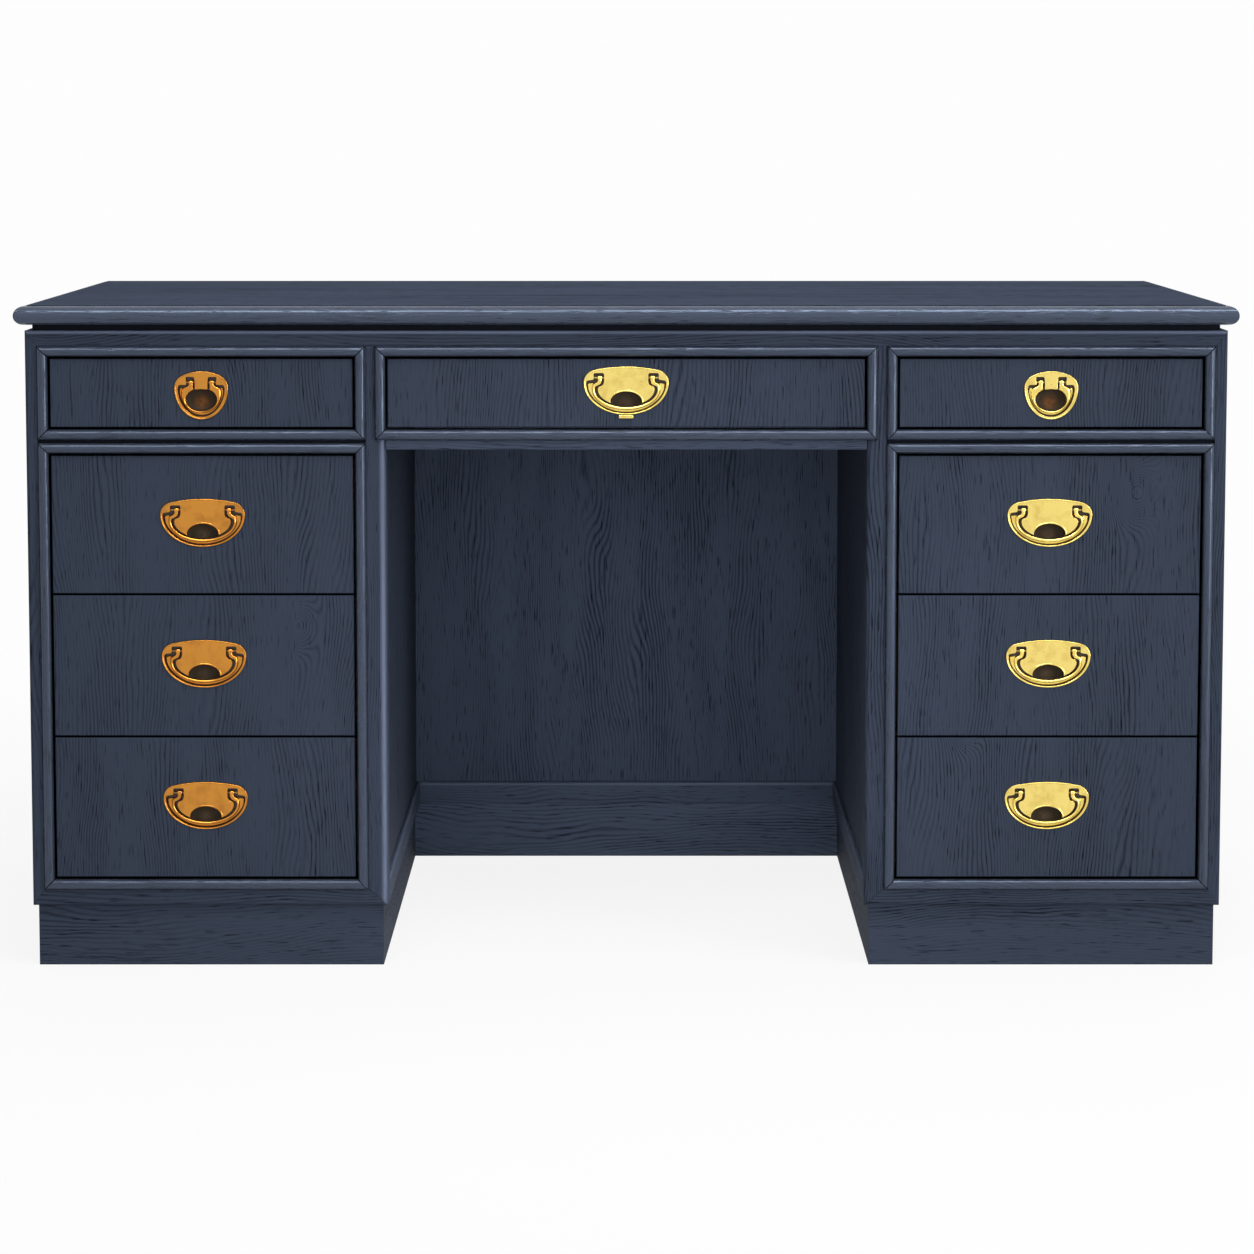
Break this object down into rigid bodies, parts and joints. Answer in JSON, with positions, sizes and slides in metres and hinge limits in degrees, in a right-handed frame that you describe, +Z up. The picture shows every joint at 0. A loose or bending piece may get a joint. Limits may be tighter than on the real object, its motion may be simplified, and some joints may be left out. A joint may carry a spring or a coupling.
{
  "type": "kneehole writing desk",
  "caption": "Kneehole writing desk with drawer pedestals, half-round beads round flush drawers, a set-back modesty panel, a plinth base and oval brass bail pulls let into the fronts.",
  "frame": {"origin": "on the floor, under the middle of the top board", "axes": "+X to the right for a person in front of the desk, the drawers and the kneehole face -Y, +Z up"},
  "size_m": [1.384, 0.61, 0.762],
  "materials": {
    "painted_oak": "navy blue stain over open-grained oak, satin",
    "drawer_wood": "bare pale hardwood, planed",
    "antique_brass": "brass with a darker orange patina",
    "bright_brass": "satin yellow brass"
  },
  "bodies": {
    "case": {"top_panel": "painted_oak", "top_nosing": "painted_oak", "neck_strips": "painted_oak", "face_top_rail": "painted_oak", "outer_stiles": "painted_oak", "inner_stiles": "painted_oak", "face_bottom_rails": "painted_oak", "kneehole_rail": "painted_oak", "divider_rails": "painted_oak", "bead_frames_left": "painted_oak", "bead_frame_centre": "painted_oak", "bead_frames_right": "painted_oak", "side_frame_left": "painted_oak", "side_frame_right": "painted_oak", "kneehole_panels": "painted_oak", "kneehole_base_rails": "painted_oak", "modesty_panel": "painted_oak", "pedestal_backs": "painted_oak", "pedestal_floors": "painted_oak", "plinths": "painted_oak", "kneehole_plinth": "painted_oak", "drawer_runners": "drawer_wood"},
    "drawer_top_left": {"drawer_front_top_left": "painted_oak", "drawer_box_top_left": "drawer_wood", "pull_plate_top_left": "antique_brass"},
    "bail_top_left": {"pull_bail_top_left": "antique_brass"},
    "drawer_top_centre": {"drawer_front_top_centre": "painted_oak", "drawer_box_top_centre": "drawer_wood", "pull_plate_top_centre": "bright_brass"},
    "bail_top_centre": {"pull_bail_top_centre": "bright_brass"},
    "drawer_top_right": {"drawer_front_top_right": "painted_oak", "drawer_box_top_right": "drawer_wood", "pull_plate_top_right": "bright_brass"},
    "bail_top_right": {"pull_bail_top_right": "bright_brass"},
    "drawer_left_low": {"drawer_front_left_low": "painted_oak", "drawer_box_left_low": "drawer_wood", "pull_plate_left_low": "antique_brass"},
    "bail_left_low": {"pull_bail_left_low": "antique_brass"},
    "drawer_left_middle": {"drawer_front_left_middle": "painted_oak", "drawer_box_left_middle": "drawer_wood", "pull_plate_left_middle": "antique_brass"},
    "bail_left_middle": {"pull_bail_left_middle": "antique_brass"},
    "drawer_left_high": {"drawer_front_left_high": "painted_oak", "drawer_box_left_high": "drawer_wood", "pull_plate_left_high": "antique_brass"},
    "bail_left_high": {"pull_bail_left_high": "antique_brass"},
    "drawer_right_low": {"drawer_front_right_low": "painted_oak", "drawer_box_right_low": "drawer_wood", "pull_plate_right_low": "bright_brass"},
    "bail_right_low": {"pull_bail_right_low": "bright_brass"},
    "drawer_right_middle": {"drawer_front_right_middle": "painted_oak", "drawer_box_right_middle": "drawer_wood", "pull_plate_right_middle": "bright_brass"},
    "bail_right_middle": {"pull_bail_right_middle": "bright_brass"},
    "drawer_right_high": {"drawer_front_right_high": "painted_oak", "drawer_box_right_high": "drawer_wood", "pull_plate_right_high": "bright_brass"},
    "bail_right_high": {"pull_bail_right_high": "bright_brass"}
  },
  "joints": [
    {"name": "slide_top_left", "type": "slide", "parent": "case", "child": "drawer_top_left", "axis": [0, -1, 0], "range_m": [0, 0.4]},
    {"name": "swing_top_left", "type": "hinge", "parent": "drawer_top_left", "child": "bail_top_left", "pos_m": [-0.48215, -0.2884, 0.6741], "axis": [-1, 0, 0], "range_deg": [0, 85]},
    {"name": "slide_top_centre", "type": "slide", "parent": "case", "child": "drawer_top_centre", "axis": [0, -1, 0], "range_m": [0, 0.4]},
    {"name": "swing_top_centre", "type": "hinge", "parent": "drawer_top_centre", "child": "bail_top_centre", "pos_m": [0, -0.2884, 0.6795], "axis": [-1, 0, 0], "range_deg": [0, 85]},
    {"name": "slide_top_right", "type": "slide", "parent": "case", "child": "drawer_top_right", "axis": [0, -1, 0], "range_m": [0, 0.4]},
    {"name": "swing_top_right", "type": "hinge", "parent": "drawer_top_right", "child": "bail_top_right", "pos_m": [0.48215, -0.2884, 0.6741], "axis": [-1, 0, 0], "range_deg": [0, 85]},
    {"name": "slide_left_low", "type": "slide", "parent": "case", "child": "drawer_left_low", "axis": [0, -1, 0], "range_m": [0, 0.4]},
    {"name": "swing_left_low", "type": "hinge", "parent": "drawer_left_low", "child": "bail_left_low", "pos_m": [-0.48215, -0.2884, 0.20216], "axis": [-1, 0, 0], "range_deg": [0, 85]},
    {"name": "slide_left_middle", "type": "slide", "parent": "case", "child": "drawer_left_middle", "axis": [0, -1, 0], "range_m": [0, 0.4]},
    {"name": "swing_left_middle", "type": "hinge", "parent": "drawer_left_middle", "child": "bail_left_middle", "pos_m": [-0.48215, -0.2884, 0.36637], "axis": [-1, 0, 0], "range_deg": [0, 85]},
    {"name": "slide_left_high", "type": "slide", "parent": "case", "child": "drawer_left_high", "axis": [0, -1, 0], "range_m": [0, 0.4]},
    {"name": "swing_left_high", "type": "hinge", "parent": "drawer_left_high", "child": "bail_left_high", "pos_m": [-0.48215, -0.2884, 0.52851], "axis": [-1, 0, 0], "range_deg": [0, 85]},
    {"name": "slide_right_low", "type": "slide", "parent": "case", "child": "drawer_right_low", "axis": [0, -1, 0], "range_m": [0, 0.4]},
    {"name": "swing_right_low", "type": "hinge", "parent": "drawer_right_low", "child": "bail_right_low", "pos_m": [0.48215, -0.2884, 0.20216], "axis": [-1, 0, 0], "range_deg": [0, 85]},
    {"name": "slide_right_middle", "type": "slide", "parent": "case", "child": "drawer_right_middle", "axis": [0, -1, 0], "range_m": [0, 0.4]},
    {"name": "swing_right_middle", "type": "hinge", "parent": "drawer_right_middle", "child": "bail_right_middle", "pos_m": [0.48215, -0.2884, 0.36637], "axis": [-1, 0, 0], "range_deg": [0, 85]},
    {"name": "slide_right_high", "type": "slide", "parent": "case", "child": "drawer_right_high", "axis": [0, -1, 0], "range_m": [0, 0.4]},
    {"name": "swing_right_high", "type": "hinge", "parent": "drawer_right_high", "child": "bail_right_high", "pos_m": [0.48215, -0.2884, 0.52851], "axis": [-1, 0, 0], "range_deg": [0, 85]}
  ]
}
